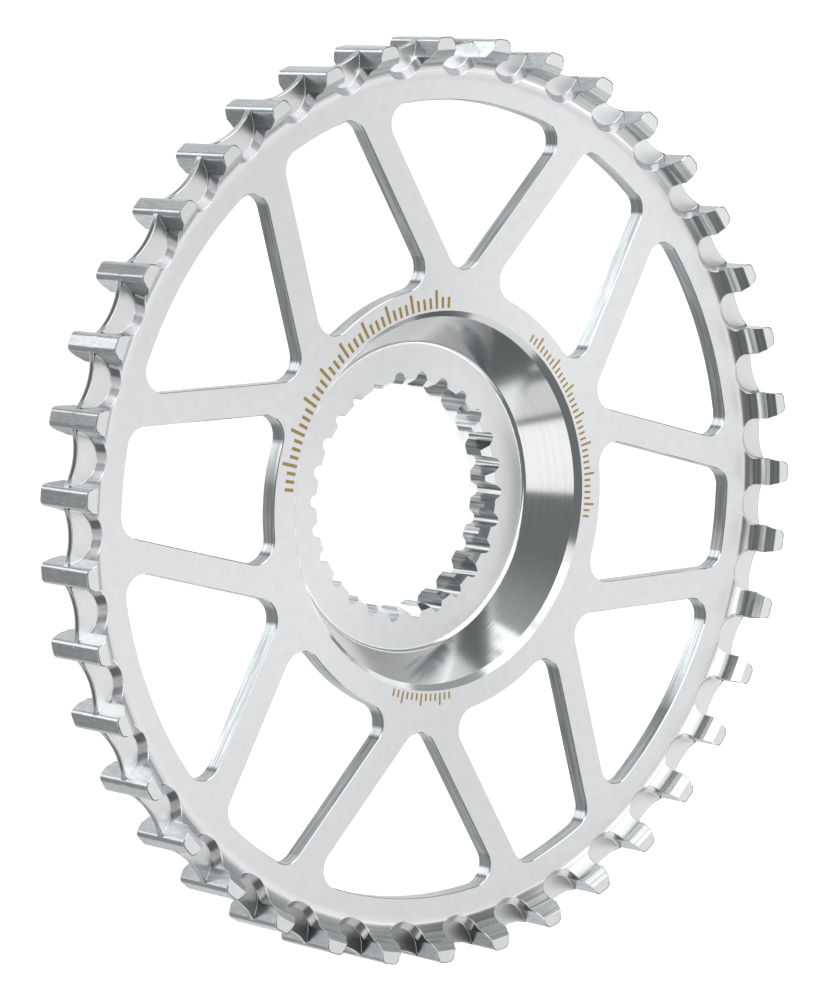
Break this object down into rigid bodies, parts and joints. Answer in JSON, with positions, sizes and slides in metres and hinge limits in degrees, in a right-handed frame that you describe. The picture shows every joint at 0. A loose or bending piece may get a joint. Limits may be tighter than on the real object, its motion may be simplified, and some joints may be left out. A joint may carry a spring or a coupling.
{
  "type": "belt drive sprocket",
  "caption": "Belt drive sprocket with straight spokes, open windows, a dished splined hub, and a toothed rim with a centre fin that keeps the belt in line.",
  "frame": {"origin": "centre of the hub's flat back face, on the rotation axis", "axes": "+Z along the rotation axis, out of the dished front face; +Y through the middle of one belt tooth; +X completes the right-handed frame"},
  "size_m": [0.135, 0.1348, 0.0172],
  "materials": {
    "machined_aluminium": "turned and milled bare aluminium with a fine satin face"
  },
  "bodies": {
    "root": {"sprocket": "machined_aluminium"}
  },
  "joints": []
}
